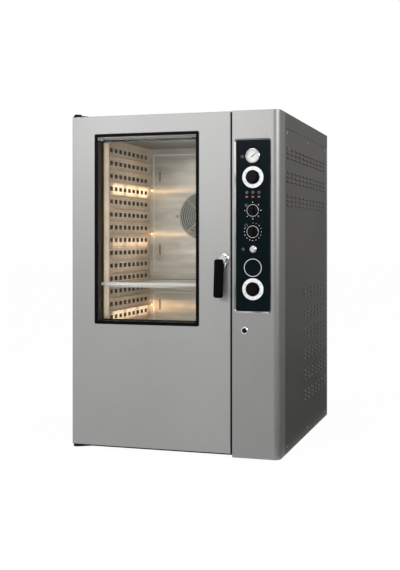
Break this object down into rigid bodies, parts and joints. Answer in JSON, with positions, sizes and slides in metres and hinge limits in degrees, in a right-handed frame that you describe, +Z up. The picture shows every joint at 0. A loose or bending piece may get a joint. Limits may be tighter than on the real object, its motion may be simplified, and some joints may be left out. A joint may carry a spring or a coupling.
{
  "type": "convection oven",
  "caption": "Tall floor-standing convection oven with a glazed side-hinged door, a black control column with dials, a racked chamber and fans behind a rear baffle.",
  "frame": {"origin": "middle of the base on the floor", "axes": "+Z up, -Y towards the front with the door, +X to the right of someone who faces the door"},
  "size_m": [1.047, 1.3527, 1.69],
  "materials": {
    "front_steel": "fine upright brushing, satin",
    "column_steel": "fine upright brushing, satin",
    "casing_steel": "brushed, satin",
    "chamber_steel": "rolled, bright",
    "liner_steel": "rolled, heat-tinted",
    "dark_steel": "satin black",
    "reveal_steel": "satin dark brown",
    "black_trim": "semi-gloss black",
    "fascia_black": "gloss black",
    "chrome": "polished",
    "hub_chrome": "polished",
    "grip_plastic": "matt black",
    "scale_white": "satin white",
    "needle_black": "satin black",
    "button_dark": "gloss",
    "lamp_red": "gloss",
    "window_glass": "clear",
    "lamp_glass": "frosted",
    "wool": "fibrous",
    "gasket_rubber": "matt",
    "machined_steel": "turned",
    "bush_brass": "turned",
    "machine_grey": "satin grey",
    "pipe_steel": "satin",
    "switch_plastic": "matt"
  },
  "bodies": {
    "oven_body": {"base_frame": "dark_steel", "front_frame": "front_steel", "left_side_panel": "casing_steel", "right_side_panel": "casing_steel", "roof_panel": "casing_steel", "rear_cover": "dark_steel", "control_column": "column_steel", "latch_striker": "machined_steel", "oven_liner": "liner_steel", "insulation": "wool", "air_ducts": "chamber_steel", "tray_runners": "chamber_steel", "middle_shelf": "chamber_steel", "back_baffles": "chamber_steel", "inlet_grilles": "chamber_steel", "fan_motors": "machine_grey", "heat_exchangers": "machine_grey", "chamber_lamps": "lamp_glass", "temperature_probe": "machined_steel", "panel_screws": "machined_steel", "burner": "machine_grey", "electrical_box": "machine_grey", "roof_outlets": "pipe_steel", "service_inlets": "bush_brass", "drain_pipe": "pipe_steel", "hinge_brackets": "dark_steel", "hinge_pins": "machined_steel", "control_fascia": "fascia_black", "gauge_case": "grip_plastic", "scale_plates": "scale_white", "gauge_lens": "window_glass", "control_bezels": "chrome", "control_switches": "switch_plastic", "signal_lamps": "lamp_red", "badge_ring": "chrome"},
    "door": {"door_skin": "front_steel", "door_inner_panel": "chamber_steel", "window_trim": "black_trim", "door_outer_glass": "window_glass", "window_reveal": "reveal_steel", "glazing_bar": "chamber_steel", "door_inner_glass": "window_glass", "latch_case": "machine_grey", "door_insulation": "wool", "hinge_bushes": "bush_brass", "door_gasket": "gasket_rubber", "handle_rose": "chrome"},
    "door_handle": {"handle_hub": "hub_chrome", "handle_grip": "grip_plastic", "handle_spindle": "machined_steel"},
    "latch": {"latch_bolt": "machined_steel"},
    "upper_dial": {"upper_dial_knob": "grip_plastic"},
    "lower_dial": {"lower_dial_knob": "grip_plastic"},
    "steam_control": {"steam_knob": "grip_plastic"},
    "timer_control": {"timer_knob": "grip_plastic"},
    "needle": {"gauge_needle": "needle_black"},
    "push_control": {"push_button": "hub_chrome"},
    "reset_control": {"reset_button": "button_dark"},
    "upper_fan_wheel": {"upper_fan": "machined_steel"},
    "lower_fan_wheel": {"lower_fan": "machined_steel"}
  },
  "joints": [
    {"name": "door_hinge", "type": "hinge", "parent": "oven_body", "child": "door", "pos_m": [-0.5, -0.607, 0.8], "axis": [0, 0, -1], "range_deg": [0, 165]},
    {"name": "handle_turn", "type": "hinge", "parent": "door", "child": "door_handle", "pos_m": [0.255, -0.631, 0.927], "axis": [0, 1, 0], "range_deg": [0, 90]},
    {"name": "latch_slide", "type": "slide", "parent": "door", "child": "latch", "axis": [-1, 0, 0], "range_m": [0, 0.01135]},
    {"name": "upper_dial_turn", "type": "hinge", "parent": "oven_body", "child": "upper_dial", "pos_m": [0.3918, -0.626, 1.308], "axis": [0, 1, 0], "range_deg": [0, 300]},
    {"name": "lower_dial_turn", "type": "hinge", "parent": "oven_body", "child": "lower_dial", "pos_m": [0.3918, -0.626, 0.787], "axis": [0, 1, 0], "range_deg": [0, 300]},
    {"name": "steam_knob_turn", "type": "hinge", "parent": "oven_body", "child": "steam_control", "pos_m": [0.3918, -0.626, 1.153], "axis": [0, 1, 0], "range_deg": [0, 270]},
    {"name": "timer_knob_turn", "type": "hinge", "parent": "oven_body", "child": "timer_control", "pos_m": [0.3918, -0.626, 1.054], "axis": [0, 1, 0], "range_deg": [0, 300]},
    {"name": "needle_swing", "type": "hinge", "parent": "oven_body", "child": "needle", "pos_m": [0.3918, -0.626, 1.407], "axis": [0, 1, 0], "range_deg": [-180, 90], "stiffness_Nm_per_rad": 0.002},
    {"name": "push_button_press", "type": "slide", "parent": "oven_body", "child": "push_control", "axis": [0, 1, 0], "range_m": [0, 0.003], "stiffness_N_per_m": 300, "springref_m": -0.001},
    {"name": "reset_button_press", "type": "slide", "parent": "oven_body", "child": "reset_control", "axis": [0, 1, 0], "range_m": [0, 0.004], "stiffness_N_per_m": 300, "springref_m": -0.001},
    {"name": "upper_fan_spin", "type": "hinge", "parent": "oven_body", "child": "upper_fan_wheel", "pos_m": [-0.0575, 0.149, 1.145], "axis": [0, 1, 0], "continuous": true},
    {"name": "lower_fan_spin", "type": "hinge", "parent": "oven_body", "child": "lower_fan_wheel", "pos_m": [-0.0575, 0.149, 0.445], "axis": [0, 1, 0], "continuous": true}
  ],
  "couplings": [
    {"joint": "latch_slide", "follows": "handle_turn", "m_per_rad": 0.0072}
  ]
}
